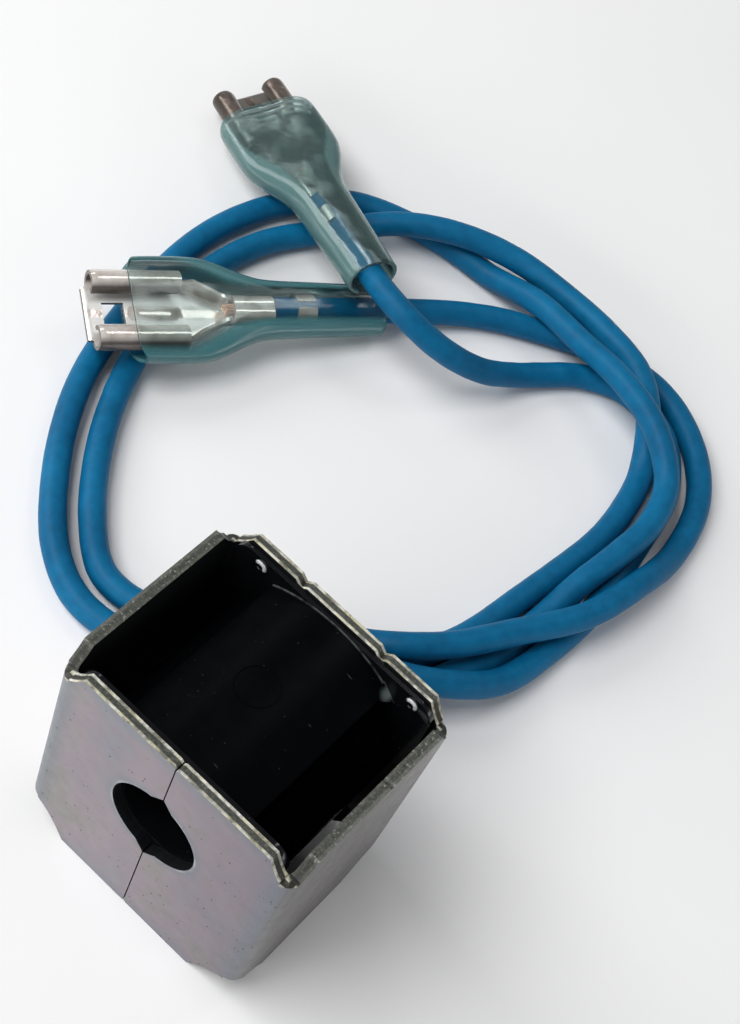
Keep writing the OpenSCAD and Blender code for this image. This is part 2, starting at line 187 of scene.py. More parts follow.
def sheet_solid(name, mid, normal, thick, keep, extra=None):
    """Closed solid of a sheet given on a grid: mid surface, normals, thickness and the cells that are kept."""
    rows, cols = mid.shape[:2]
    thick = np.broadcast_to(np.asarray(thick, float), (rows, cols))[..., None]
    top = mid + normal * thick / 2
    bot = mid - normal * thick / 2
    used = np.zeros((rows, cols), bool)
    used[:-1, :-1] |= keep
    used[1:, :-1] |= keep
    used[:-1, 1:] |= keep
    used[1:, 1:] |= keep
    idx = -np.ones((rows, cols), int)
    idx[used] = np.arange(used.sum())
    n = int(used.sum())
    verts = np.vstack([top[used], bot[used]])
    faces = []

    def kept(r, c):
        return 0 <= r < rows - 1 and 0 <= c < cols - 1 and keep[r, c]

    for r in range(rows - 1):
        for c in range(cols - 1):
            if not keep[r, c]:
                continue
            a, b, d, e = idx[r, c], idx[r, c + 1], idx[r + 1, c + 1], idx[r + 1, c]
            faces.append((a, e, d, b))
            faces.append((a + n, b + n, d + n, e + n))
            if not kept(r - 1, c):
                faces.append((a, b, b + n, a + n))
            if not kept(r + 1, c):
                faces.append((d, e, e + n, d + n))
            if not kept(r, c - 1):
                faces.append((e, a, a + n, e + n))
            if not kept(r, c + 1):
                faces.append((b, d, d + n, b + n))
    attrs = {}
    for key, values in (extra or {}).items():
        v = np.broadcast_to(values, (rows, cols))[used]
        attrs[key] = np.concatenate([v, v])
    return new_mesh(name, verts, faces, attrs)


# ---------------------------------------------------------------- material helpers
class Nodes:
    """Small builder for one material's node tree."""

    def __init__(self, name):
        self.mat = bpy.data.materials.new(name)
        self.mat.use_nodes = True
        self.t = self.mat.node_tree
        self.t.nodes.clear()
        self.out = self.t.nodes.new("ShaderNodeOutputMaterial")

    def n(self, kind, inputs=None, **props):
        node = self.t.nodes.new(kind)
        for k, v in props.items():
            setattr(node, k, v)
        for k, v in (inputs or {}).items():
            sock = node.inputs[k]
            if isinstance(v, bpy.types.NodeSocket):
                self.t.links.new(v, sock)
            else:
                sock.default_value = v
        return node

    def coord(self):
        """Position in millimetres in the object's own frame."""
        tc = self.n("ShaderNodeTexCoord")
        return self.n("ShaderNodeVectorMath", {0: tc.outputs["Object"], 3: 1000.0}, operation="SCALE").outputs[0]

    def stretch(self, vec, scale):
        return self.n("ShaderNodeVectorMath", {0: vec, 1: scale}, operation="MULTIPLY").outputs[0]

    def noise(self, vec, scale, detail=3.0, rough=0.55, out="Fac", distort=0.0):
        node = self.n("ShaderNodeTexNoise", {"Vector": vec, "Scale": scale, "Detail": detail, "Roughness": rough, "Distortion": distort})
        return node.outputs[out]

    def ramp(self, fac, stops, interp="LINEAR"):
        node = self.n("ShaderNodeValToRGB", {"Fac": fac})
        cr = node.color_ramp
        cr.interpolation = interp
        while len(cr.elements) < len(stops):
            cr.elements.new(0.5)
        for e, (p, c) in zip(cr.elements, stops):
            e.position = p
            e.color = (c, c, c, 1) if isinstance(c, (int, float)) else (*c, 1)
        return node.outputs["Color"]

    def math(self, op, a, b=0.0, clamp=False):
        node = self.n("ShaderNodeMath", {0: a, 1: b}, operation=op)
        node.use_clamp = clamp
        return node.outputs[0]

    def remap(self, v, a, b, lo=0.0, hi=1.0, smooth=False):
        node = self.n("ShaderNodeMapRange", {"Value": v, "From Min": a, "From Max": b, "To Min": lo, "To Max": hi})
        node.clamp = True
        if smooth:
            node.interpolation_type = "SMOOTHSTEP"
        return node.outputs["Result"]

    def mix(self, fac, a, b, blend="MIX"):
        node = self.n("ShaderNodeMix", data_type="RGBA", blend_type=blend)
        for sock, v in ((node.inputs[0], fac), (node.inputs[6], a), (node.inputs[7], b)):
            if isinstance(v, bpy.types.NodeSocket):
                self.t.links.new(v, sock)
            elif isinstance(v, (int, float)):
                sock.default_value = v
            else:
                sock.default_value = (*v, 1)
        return node.outputs[2]

    def bump(self, height, strength, dist_mm, normal=None):
        ins = {"Height": height, "Strength": strength, "Distance": dist_mm * MM}
        if normal is not None:
            ins["Normal"] = normal
        return self.n("ShaderNodeBump", ins).outputs[0]

    def xyz(self, vec):
        return self.n("ShaderNodeSeparateXYZ", {0: vec}).outputs

    def attr(self, name):
        return self.n("ShaderNodeAttribute", attribute_name=name).outputs["Fac"]

    def principled(self, **ins):
        fixed = {k.replace("_", " "): v for k, v in ins.items()}
        return self.n("ShaderNodeBsdfPrincipled", fixed)

    def surface(self, shader_out):
        self.t.links.new(shader_out, self.out.inputs["Surface"])
        return self.mat


def rgb(c):
    return (*c, 1.0)


def use(ob, mat):
    ob.data.materials.clear()
    ob.data.materials.append(mat)


# ---------------------------------------------------------------- materials
def zinc_strip():
    """Bright zinc on folded steel strip: lilac film, sheared rims with painted edge highlights, painted shade on the
    inward faces and the right face, specks and scuffs.
    """
    g = Nodes("zinc_strip")
    p = g.coord()
    x, y, z = g.xyz(p)
    big = g.noise(p, 0.16, 2.0, 0.5)
    mid = g.noise(p, 0.75, 4.0, 0.6)
    fine = g.noise(p, 9.0, 3.0, 0.65)
    film = g.ramp(g.math("ADD", g.math("MULTIPLY", big, 0.7), g.math("MULTIPLY", mid, 0.3)), [
        (0.30, (0.26, 0.275, 0.31)), (0.42, (0.30, 0.27, 0.305)), (0.52, (0.335, 0.285, 0.315)), (0.62, (0.31, 0.29, 0.275)), (0.72, (0.28, 0.275, 0.305))])
    film = g.mix(g.remap(fine, 0.35, 0.7, 0.0, 0.20), film, (0.42, 0.39, 0.405))
    # bluish film by the folds, the rims and the hole
    ax, ay = g.math("ABSOLUTE", x), g.math("ABSOLUTE", y)
    fold = g.math("MINIMUM", g.remap(ax, 8.4, 10.6, smooth=True), g.remap(ay, 6.6, 8.4, smooth=True))
    from_axis = g.n("ShaderNodeVectorMath", {0: g.n("ShaderNodeVectorMath", {0: p, 1: (1.0, 0.0, 1.0)}, operation="MULTIPLY").outputs[0], 1: (0.0, 0.0, 15.3)}, operation="DISTANCE").outputs["Value"]
    halo = g.math("MULTIPLY", g.remap(from_axis, 5.1, 4.2, smooth=True), g.remap(ay, 8.0, 8.6))
    edge = g.math("MAXIMUM", g.remap(z, 23.9, 25.4, smooth=True), g.remap(z, 1.6, 0.2, smooth=True))
    cool = g.math("MAXIMUM", g.math("MULTIPLY", fold, 0.75), g.math("MAXIMUM", g.math("MULTIPLY", halo, 0.6), g.math("MULTIPLY", edge, 0.55)))
    film = g.mix(cool, film, (0.225, 0.265, 0.295))
    # the front plate darkens towards the right
    front = g.math("MULTIPLY", g.remap(y, -8.3, -8.7), g.remap(x, -3.0, 9.0, 0.0, 0.85))
    film = g.mix(front, film, (0.70, 0.68, 0.73), "MULTIPLY")
    # painted shade: the right face is painted duller and darker, more so towards its rim
    right_face_shade = g.mix(g.remap(z, 14.0, 24.0), (0.176, 0.166, 0.160), (0.128, 0.124, 0.114))
    film = g.mix(g.math("MULTIPLY", g.remap(x, 10.4, 11.15), 0.85), film, right_face_shade)
    # dark specks and small scuffs
    speck = g.n("ShaderNodeTexVoronoi", {"Vector": p, "Scale": 1.5, "Randomness": 1.0}).outputs["Distance"]
    where = g.remap(g.noise(p, 0.7, 2.0), 0.47, 0.58)
    spot = g.math("MULTIPLY", g.remap(speck, 0.09, 0.15, 1.0, 0.0), where)
    lines = g.noise(g.stretch(p, (1.4, 1.4, 0.12)), 3.2, 2.0, 0.5, distort=0.6)
    scuff = g.math("MULTIPLY", g.remap(lines, 0.70, 0.76), g.remap(g.noise(p, 0.5, 1.0), 0.56, 0.64))
    marks = g.math("MAXIMUM", spot, g.math("MULTIPLY", scuff, 0.6))
    film = g.mix(g.math("MULTIPLY", marks, 0.92), film, (0.05, 0.047, 0.043))
    # sheared rims: dark grain with painted glint specks, a painted highlight band at the outer edge of the sides,
    # painted broken highlight lines along the edges at front and back
    nx, ny, nz = (g.math("ABSOLUTE", v) for v in g.xyz(g.n("ShaderNodeNewGeometry").outputs["True Normal"]))
    outside = g.remap(from_axis, 5.3, 5.4)
    rim = g.math("MULTIPLY", g.remap(nz, 0.10, 0.30), outside)
    rounded = g.math("MULTIPLY", g.remap(nz, 0.12, 0.25), outside)
    t = g.math("DIVIDE", g.math("MAXIMUM", g.math("SUBTRACT", ax, 10.35), g.math("SUBTRACT", ay, 8.2)), 0.9)
    plate = g.remap(ay, 8.12, 8.24)
    tool = g.noise(g.stretch(p, (2.2, 2.2, 0.6)), 1.5, 4.0, 0.65)
    sheared = g.ramp(tool, [(0.34, (0.050, 0.054, 0.048)), (0.52, (0.078, 0.082, 0.072)), (0.68, (0.125, 0.125, 0.105))])
    outer_band_highlight = g.math("MULTIPLY", g.remap(t, 0.64, 0.74), g.remap(plate, 0.0, 1.0, 1.0, 0.0))
    sheared = g.mix(g.math("MULTIPLY", outer_band_highlight, 0.26), sheared, (0.22, 0.22, 0.20))
    glint = g.math("MULTIPLY", g.remap(g.noise(p, 4.5, 2.0, 0.6), 0.58, 0.70), g.remap(plate, 0.0, 1.0, 0.60, 0.20))
    sheared = g.mix(glint, sheared, (0.40, 0.41, 0.37))
    broken = g.remap(g.noise(p, 1.5, 3.0, 0.6), 0.36, 0.60, 0.25, 1.0)
    rim_glint_bands = g.math("MAXIMUM", g.remap(t, 0.30, 0.21), g.math("MULTIPLY", g.remap(t, 0.71, 0.79), 0.95))
    line = g.math("MULTIPLY", g.math("MULTIPLY", rim_glint_bands, broken), g.math("MULTIPLY", g.remap(plate, 0.0, 1.0, 0.05, 1.0), rounded))
    # painted shade: the rim is darkened where it dips into the corner notches
    notch_shade = g.math("MULTIPLY", g.remap(z, 25.45, 25.15), g.remap(z, 22.6, 22.8))
    sheared = g.mix(g.math("MULTIPLY", notch_shade, 0.55), sheared, (0.026, 0.024, 0.021))
    col = g.mix(rim, film, sheared)
    col = g.mix(line, col, g.mix(g.remap(g.noise(p, 0.8, 2.0), 0.4, 0.6), (0.62, 0.59, 0.42), (0.74, 0.73, 0.66)))
    # painted highlight: a pale line around the punched hole's edge
    lip = g.math("MULTIPLY", g.remap(from_axis, 4.27, 4.20), g.math("MULTIPLY", plate, g.remap(ny, 0.80, 0.95)))
    lip = g.math("MULTIPLY", lip, g.remap(g.noise(p, 0.7, 3.0), 0.42, 0.62, 0.08, 0.75))
    col = g.mix(lip, col, (0.46, 0.49, 0.51))
    # painted shade: inward faces and the hole's wall are painted near black
    shaded_inner = g.remap(t, 0.02, 0.10, 1.0, 0.0)
    shaded_inner = g.math("MULTIPLY", shaded_inner, g.remap(rounded, 0.0, 0.6, 1.0, 0.0))
    cut = g.math("MULTIPLY", g.remap(ny, 0.75, 0.55), g.math("MULTIPLY", g.remap(ax, 4.5, 4.4), g.remap(rounded, 0.0, 0.6, 1.0, 0.0)))
    shaded_inner = g.math("MAXIMUM", shaded_inner, g.math("MULTIPLY", cut, plate))
    streak = g.noise(g.stretch(p, (2.0, 0.2, 2.0)), 2.4, 2.0)
    inner_shade_colour = g.mix(g.remap(streak, 0.4, 0.75), (0.0032, 0.0038, 0.0048), (0.0075, 0.0082, 0.0090))
    col = g.mix(shaded_inner, col, inner_shade_colour)
    rough = g.math("ADD", g.remap(mid, 0.3, 0.7, 0.33, 0.46), g.math("MULTIPLY", marks, 0.3))
    rough = g.math("ADD", rough, g.math("MULTIPLY", shaded_inner, 0.45), clamp=True)
    metal = g.math("MULTIPLY", g.remap(shaded_inner, 0.0, 1.0, 1.0, 0.0), g.remap(rim, 0.0, 1.0, 1.0, 0.25))
    metal = g.math("MULTIPLY", metal, g.remap(line, 0.0, 1.0, 1.0, 0.3))
    h = g.math("ADD", g.math("MULTIPLY", fine, 0.25), g.math("MULTIPLY", tool, g.math("MULTIPLY", rim, 1.2)))
    h = g.math("SUBTRACT", h, g.math("MULTIPLY", marks, 0.8))
    geo = g.n("ShaderNodeNewGeometry").outputs
    level = g.math("MAXIMUM", g.remap(nx, 0.9985, 0.9995), g.math("MAXIMUM", g.remap(ny, 0.9985, 0.9995), g.remap(nz, 0.9985, 0.9995)))
    pick = g.n("ShaderNodeMix", data_type="VECTOR")
    g.t.links.new(level, pick.inputs[0])
    g.t.links.new(geo["Normal"], pick.inputs[4])
    g.t.links.new(geo["True Normal"], pick.inputs[5])
    normal = g.bump(h, 0.35, 0.05, pick.outputs[1])
    b = g.principled(Base_Color=col, Metallic=metal, Roughness=rough, Normal=normal)
    b.inputs["Specular IOR Level"].default_value = 0.10
    return g.surface(b.outputs[0])


def black_plastic(name, base, lift, rough_lo, rough_hi, scratch=0.5, level=0.14, crown=0.0, pips=()):
    """Moulded black plastic with handling scratches and faint dust, and painted highlights on the pips and the pad."""
    g = Nodes(name)
    p = g.coord()
    mid = g.noise(p, 0.6, 4.0, 0.6)
    fine = g.noise(p, 14.0, 3.0, 0.6)
    line = g.noise(g.stretch(p, (0.25, 2.2, 1.0)), 2.6, 2.0, 0.4, distort=0.4)
    cuts = g.math("MULTIPLY", g.remap(line, 0.735, 0.765), g.remap(g.noise(p, 0.45, 1.0), 0.54, 0.61))
    dust = g.remap(g.n("ShaderNodeTexVoronoi", {"Vector": p, "Scale": 0.9}).outputs["Distance"], 0.025, 0.06, 1.0, 0.0)
    col = g.mix(mid, base, lift)
    col = g.mix(g.math("MULTIPLY", cuts, scratch), col, (0.16, 0.17, 0.19))
    col = g.mix(g.math("MULTIPLY", dust, 0.25), col, (0.12, 0.12, 0.13))
    x, y, z = g.xyz(p)
    for px in pips:
        # painted highlight: a pale crescent on the upper side of a pip
        off = g.n("ShaderNodeVectorMath", {0: p, 1: (px, 7.6, 24.4)}, operation="SUBTRACT").outputs[0]
        dist = g.n("ShaderNodeVectorMath", {0: off}, operation="LENGTH").outputs["Value"]
        ox, oy, oz = g.xyz(off)
        pip_highlight = g.math("MULTIPLY", g.remap(g.math("ADD", oz, g.math("MULTIPLY", ox, 0.5)), 0.02, 0.25), g.remap(oy, 0.08, 0.02))
        pip_highlight = g.math("MULTIPLY", pip_highlight, g.math("MULTIPLY", g.remap(dist, 0.72, 0.66), g.remap(dist, 0.28, 0.38)))
        col = g.mix(g.math("MULTIPLY", pip_highlight, g.remap(fine, 0.35, 0.6, 0.5, 1.0)), col, (0.62, 0.66, 0.65))
    rough = g.math("ADD", g.remap(mid, 0.3, 0.7, rough_lo, rough_hi), g.math("MULTIPLY", cuts, 0.25))
    h = g.math("SUBTRACT", g.math("MULTIPLY", fine, 0.12), g.math("MULTIPLY", cuts, 0.6))
    base_normal = None
    if crown:
        # the pad on top is truly round about the bore's axis, the tessellated face is not
        arm = g.n("ShaderNodeVectorMath", {0: g.stretch(p, (1.0, 0.0, 1.0)), 1: (0.0, 0.0, 15.3)}, operation="SUBTRACT").outputs[0]
        r = g.n("ShaderNodeVectorMath", {0: arm}, operation="LENGTH").outputs["Value"]
        # painted highlights: a light line along the fillet at the back of the pad and a pale patch on the small web at
        # its right end
        fillet_highlight = g.math("MULTIPLY", g.remap(y, 7.58, 7.64), g.math("MULTIPLY", g.remap(r, crown - 0.12, crown - 0.06), g.remap(g.noise(p, 1.1, 2.0), 0.36, 0.58, 0.10, 1.0)))
        col = g.mix(fillet_highlight, col, (0.060, 0.066, 0.066))
        web_highlight = g.n("ShaderNodeVectorMath", {0: p, 1: (5.95, 7.45, 23.55)}, operation="DISTANCE").outputs["Value"]
        col = g.mix(g.math("MULTIPLY", g.remap(web_highlight, 0.80, 0.15, 0.0, 0.9, smooth=True), g.remap(mid, 0.35, 0.6, 0.6, 1.0)), col, (0.19, 0.23, 0.23))
        on_pad = g.math("MULTIPLY", g.remap(r, crown - 0.045, crown - 0.030), g.remap(r, crown + 0.006, crown + 0.016, 1.0, 0.0))
        on_pad = g.math("MULTIPLY", on_pad, g.remap(g.xyz(g.n("ShaderNodeNewGeometry").outputs["True Normal"])[2], 0.6, 0.7))
        unit = g.n("ShaderNodeVectorMath", {0: arm}, operation="NORMALIZE").outputs[0]
        pick = g.n("ShaderNodeMix", data_type="VECTOR")
        g.t.links.new(on_pad, pick.inputs[0])
        g.t.links.new(g.n("ShaderNodeNewGeometry").outputs["Normal"], pick.inputs[4])
        g.t.links.new(unit, pick.inputs[5])
        base_normal = pick.outputs[1]
    b = g.principled(Base_Color=col, Roughness=rough, Normal=g.bump(h, 0.3, 0.04, base_normal))
    b.inputs["Specular IOR Level"].default_value = level
    return g.surface(b.outputs[0])


def insulation():
    """Matt blue lead insulation, slightly chalky, with long faint streaks."""
    g = Nodes("blue_insulation")
    p = g.coord()
    s = g.attr("along")
    big = g.noise(p, 0.10, 2.0, 0.5)
    mid = g.noise(p, 0.8, 4.0, 0.6)
    fine = g.noise(p, 7.0, 4.0, 0.7)
    col = g.ramp(g.math("ADD", g.math("MULTIPLY", big, 0.55), g.math("MULTIPLY", mid, 0.45)), [
        (0.34, (0.0012, 0.086, 0.196)), (0.50, (0.0016, 0.117, 0.256)), (0.66, (0.0025, 0.148, 0.312))])
    col = g.mix(g.remap(fine, 0.55, 0.80, 0.0, 0.25), col, (0.015, 0.19, 0.35))
    ring = g.noise(g.n("ShaderNodeCombineXYZ", {0: s}).outputs[0], 0.9, 2.0, 0.5)
    h = g.math("ADD", g.math("MULTIPLY", fine, 0.5), g.math("MULTIPLY", ring, 0.4))
    b = g.principled(Base_Color=col, Roughness=g.remap(mid, 0.3, 0.7, 0.42, 0.55), Normal=g.bump(h, 0.25, 0.05))
    b.inputs["Specular IOR Level"].default_value = 0.15
    return g.surface(b.outputs[0])


def tinned(name, stops, rough_lo, rough_hi, stain, metallic=1.0, sleeved_colours=None, floor_tone=(0.3, 0.29, 0.275)):
    """Plated stamping: rolling lines, stains and small dents, painted shade below the rolls and, where given, painted
    reflection outside the sleeve.
    """
    g = Nodes(name)
    p = g.coord()
    s = g.attr("along")
    mid = g.noise(p, 0.9, 4.0, 0.6)
    fine = g.noise(p, 10.0, 3.0, 0.6)
    roll = g.noise(g.stretch(p, (3.0, 0.5, 3.0)), 3.0, 2.0, 0.5)
    col = g.ramp(mid, stops)
    col = g.mix(g.math("MULTIPLY", g.remap(fine, 0.58, 0.72), 0.5), col, stain)
    if sleeved_colours:
        # painted reflection: the given stops stand in for a warm dark reflection and show only where the plating stands
        # out of its sleeve; the covered part takes the sleeved colours
        col = g.mix(g.remap(g.math("ADD", s, g.math("MULTIPLY", mid, 1.2)), 4.6, 5.8), col, g.mix(mid, *sleeved_colours))
    # dull floor, painted shade on the undersides of the rolls
    flat = g.attr("flat")
    col = g.mix(g.math("MULTIPLY", flat, 0.9), col, floor_tone)
    underside_shade = g.remap(g.xyz(g.n("ShaderNodeNewGeometry").outputs["Normal"])[2], 0.86, 0.54)
    col = g.mix(g.math("MULTIPLY", g.math("MULTIPLY", underside_shade, 0.88), g.remap(s, 8.8, 9.4, 1.0, 0.35)), col, (0.050, 0.038, 0.030))
    rough = g.math("ADD", g.remap(mid, 0.3, 0.7, rough_lo, rough_hi), g.math("MULTIPLY", flat, 0.24))
    h = g.math("ADD", g.math("MULTIPLY", g.noise(p, 1.6, 2.0), 0.7), g.math("MULTIPLY", roll, 0.10))
    h = g.math("ADD", h, g.math("MULTIPLY", g.noise(g.n("ShaderNodeCombineXYZ", {0: s}).outputs[0], 2.0), 0.1))
    b = g.principled(Base_Color=col, Roughness=rough, Normal=g.bump(h, 0.30, 0.12))
    b.inputs["Metallic"].default_value = metallic
    return g.surface(b.outputs[0])


def copper(name, a, c, rough):
    """Drawn copper wire with a turn pattern."""
    g = Nodes(name)
    p = g.coord()
    x, y, z = g.xyz(p)
    turns = g.n("ShaderNodeTexWave", {"Vector": p, "Scale": 2.4, "Distortion": 0.4}, wave_type="BANDS", bands_direction="Y").outputs["Fac"]
    mid = g.noise(p, 1.2, 3.0)
    col = g.mix(mid, a, c)
    b = g.principled(Base_Color=col, Roughness=g.remap(mid, 0.3, 0.7, rough, rough + 0.12), Normal=g.bump(turns, 0.5, 0.10))
    b.inputs["Metallic"].default_value = 1.0
    return g.surface(b.outputs[0])


def tape():
    """Yellowish polyester tape with wrap edges."""
    g = Nodes("tape_film")
    p = g.coord()
    mid = g.noise(p, 0.7, 3.0)
    wrap = g.n("ShaderNodeTexWave", {"Vector": p, "Scale": 0.35, "Distortion": 1.2}, wave_type="BANDS", bands_direction="Y").outputs["Fac"]
    col = g.mix(mid, (0.50, 0.36, 0.08), (0.62, 0.47, 0.14))
    b = g.principled(Base_Color=col, Roughness=g.remap(mid, 0.3, 0.7, 0.3, 0.45), Normal=g.bump(wrap, 0.3, 0.05))
    return g.surface(b.outputs[0])


def vinyl(name, tint, milk, edge_lo, edge_hi, gloss_lo, gloss_hi, side):
    """Clear soft vinyl with a milky teal cast that deepens at grazing edges, and a wavy gloss."""
    g = Nodes(name)
    p = g.coord()
    wave = g.noise(p, 0.38, 1.0, 0.4)
    fine = g.noise(p, 3.2, 3.0, 0.6)
    normal = g.bump(g.math("ADD", g.math("MULTIPLY", wave, 1.0), g.math("MULTIPLY", fine, 0.003)), 0.45, 0.24)
    body = g.principled(Base_Color=g.mix(wave, milk[0], milk[1]), Roughness=g.remap(fine, 0.3, 0.7, 0.3, 0.45), Normal=normal)
    body.inputs["Specular IOR Level"].default_value = 0.1
    clear = g.n("ShaderNodeBsdfTransparent", {"Color": rgb(tint)})
    facing = g.n("ShaderNodeLayerWeight", {"Blend": 0.5}).outputs["Facing"]
    sides = g.math("MULTIPLY", g.attr("flank"), side)
    cast = g.math("ADD", g.math("MAXIMUM", g.remap(facing, 0.30, 0.95, edge_lo, edge_hi), sides), g.math("MULTIPLY", g.math("SUBTRACT", fine, 0.5), 0.05), clamp=True)
    mixed = g.n("ShaderNodeMixShader", {0: cast, 1: clear.outputs[0], 2: body.outputs[0]})
    gloss = g.n("ShaderNodeBsdfGlossy", {"Color": rgb((0.95, 0.98, 0.97)), "Roughness": g.remap(fine, 0.3, 0.7, gloss_lo, gloss_hi), "Normal": normal})
    fres = g.n("ShaderNodeFresnel", {"IOR": 1.36, "Normal": normal})
    full = g.n("ShaderNodeMixShader", {0: fres.outputs[0], 1: mixed.outputs[0], 2: gloss.outputs[0]})
    return g.surface(full.outputs[0])


ZINC = zinc_strip()
BOBBIN = black_plastic("black_moulding", (0.0022, 0.0027, 0.0035), (0.0042, 0.0048, 0.0058), 0.11, 0.20, 0.35, 0.50, 0.0, (-7.3, 7.8))
GLOSS = black_plastic("black_gloss", (0.0010, 0.0013, 0.0017), (0.0020, 0.0025, 0.0032), 0.26, 0.38, 0.35, 0.035, 10.05)
BLUE = insulation()
TIN = tinned("bright_tin", [(0.3, (0.66, 0.58, 0.52)), (0.5, (0.84, 0.77, 0.71)), (0.7, (0.92, 0.88, 0.84))], 0.08, 0.20, (0.50, 0.43, 0.37), 0.38, floor_tone=(0.90, 0.90, 0.87))
# painted reflection: the brown stops stand in for a warm dark reflection on the part out of the sleeve
BROWN = tinned("brown_reflection_plate", [(0.3, (0.095, 0.076, 0.064)), (0.5, (0.160, 0.128, 0.108)), (0.7, (0.270, 0.215, 0.185))], 0.16, 0.30, (0.055, 0.042, 0.036), 0.5,
               ((0.50, 0.48, 0.44), (0.74, 0.72, 0.67)), (0.17, 0.155, 0.14))
SPLICE = tinned("splice_tin", [(0.3, (0.55, 0.54, 0.52)), (0.7, (0.80, 0.79, 0.76))], 0.25, 0.40, (0.3, 0.28, 0.26))
ENAMEL = copper("enamelled_copper", (0.50, 0.17, 0.05), (0.66, 0.26, 0.09), 0.22)
BARE = copper("bare_copper", (0.72, 0.36, 0.20), (0.86, 0.50, 0.32), 0.28)
TAPE = tape()
VINYL_A = vinyl("clear_vinyl", (0.955, 0.992, 0.988), ((0.062, 0.220, 0.240), (0.088, 0.265, 0.285)), 0.015, 0.80, 0.06, 0.13, 0.66)
VINYL_B = vinyl("clear_vinyl_aged", (0.915, 0.975, 0.973), ((0.100, 0.205, 0.202), (0.140, 0.262, 0.256)), 0.13, 0.80, 0.07, 0.15, 0.66)


# ---------------------------------------------------------------- the CAD pieces that show as they are
for key, mat in {"yoke_frame": ZINC, "bobbin": BOBBIN, "coil_overmold": GLOSS, "copper_winding": ENAMEL, "winding_tape": TAPE,
                 "coil_tail_1": ENAMEL, "coil_tail_2": ENAMEL, "splice_1": SPLICE, "splice_2": SPLICE}.items():
    use(nodes[key], mat)
for key, width in {"yoke_frame": 0.12, "bobbin": 0.06, "coil_overmold": 0.03}.items():
    ob = nodes[key]
    weld = ob.modifiers.new("weld", "WELD")
    weld.merge_threshold = 0.000002
    add_bevel(ob, width, 3, 30.0)
    wn = ob.modifiers.new("normals", "WEIGHTED_NORMAL")
    wn.keep_sharp = False


# ---------------------------------------------------------------- leads
LEADS = []
for i in range(2):
    path = smooth_path(centreline(i), 12)
    path[:, 2] = np.maximum(path[:, 2], LEAD_R + 0.02)
    d = np.concatenate([[0], np.cumsum(np.linalg.norm(np.diff(path, axis=0), axis=1))])
    swell = LEAD_R * (1 + 0.006 * np.sin(d * 0.9 + i) + 0.004 * np.sin(d * 2.3 + 1.7 * i))
    lead = tube(f"lead_wire_{i + 1}", path, swell, 28)
    sharp_by_angle(lead, 50)
    use(lead, BLUE)
    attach(lead, "coil")
    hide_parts(f"lead_{i + 1}")
    LEADS.append((lead, path))


# ---------------------------------------------------------------- receptacles
def stations(points):
    """Piecewise smooth values along s."""
    xs = np.array([p[0] for p in points], float)
    ys = np.array([p[1] for p in points], float)

    def at(s):
        return np.interp(s, xs, ys)
    return at


FLOOR_HW = stations([(0, 2.75), (9.2, 2.75), (9.6, 2.45), (13.6, 0.60), (14.0, 0.45), (18.2, 0.45), (18.8, 0.40), (20.2, 0.05), (22.4, 0.05)])
CURL_R = stations([(0, 1.0), (9.2, 1.0), (9.6, 0.45), (13.4, 0.45), (14.0, 0.85), (18.2, 0.85), (18.8, 1.0), (20.2, 1.36), (22.4, 1.36)])
CURL_MAX = stations([(0, 9.0), (9.25, 9.0), (9.3, math.pi / 2), (13.7, math.pi / 2), (13.75, 9.0), (22.4, 9.0)])
FLOOR_Z = stations([(0, -1.2), (13.2, -1.2), (14.0, -1.0), (18.2, -1.0), (20.3, -1.375), (22.4, -1.375)])
CORE = stations([(0, 2.60), (0.5, 2.75), (9.2, 2.75), (9.6, 2.45), (13.6, 0.60), (14.0, 0.55), (18.1, 0.55), (18.5, 1.25), (20.1, 1.35), (20.4, 0.70), (22.4, 0.70)])
BLANK = stations([(0, 2.6), (0.49, 2.75), (0.5, 7.2), (0.8, 7.36), (9.0, 7.36), (9.2, 7.2), (9.35, 3.40), (10.4, 4.35), (13.6, 2.50), (13.9, 2.40), (14.1, 3.55), (18.2, 3.55),
                 (20.4, 4.00), (20.6, 4.08), (22.2, 4.08), (22.4, 4.00)])
WING_CUTS = [(0.0, 0.5), (9.2, 9.35), (13.9, 14.1), (18.2, 20.4)]
WINDOW_S, WINDOW_HW = (1.7, 3.8), 1.05


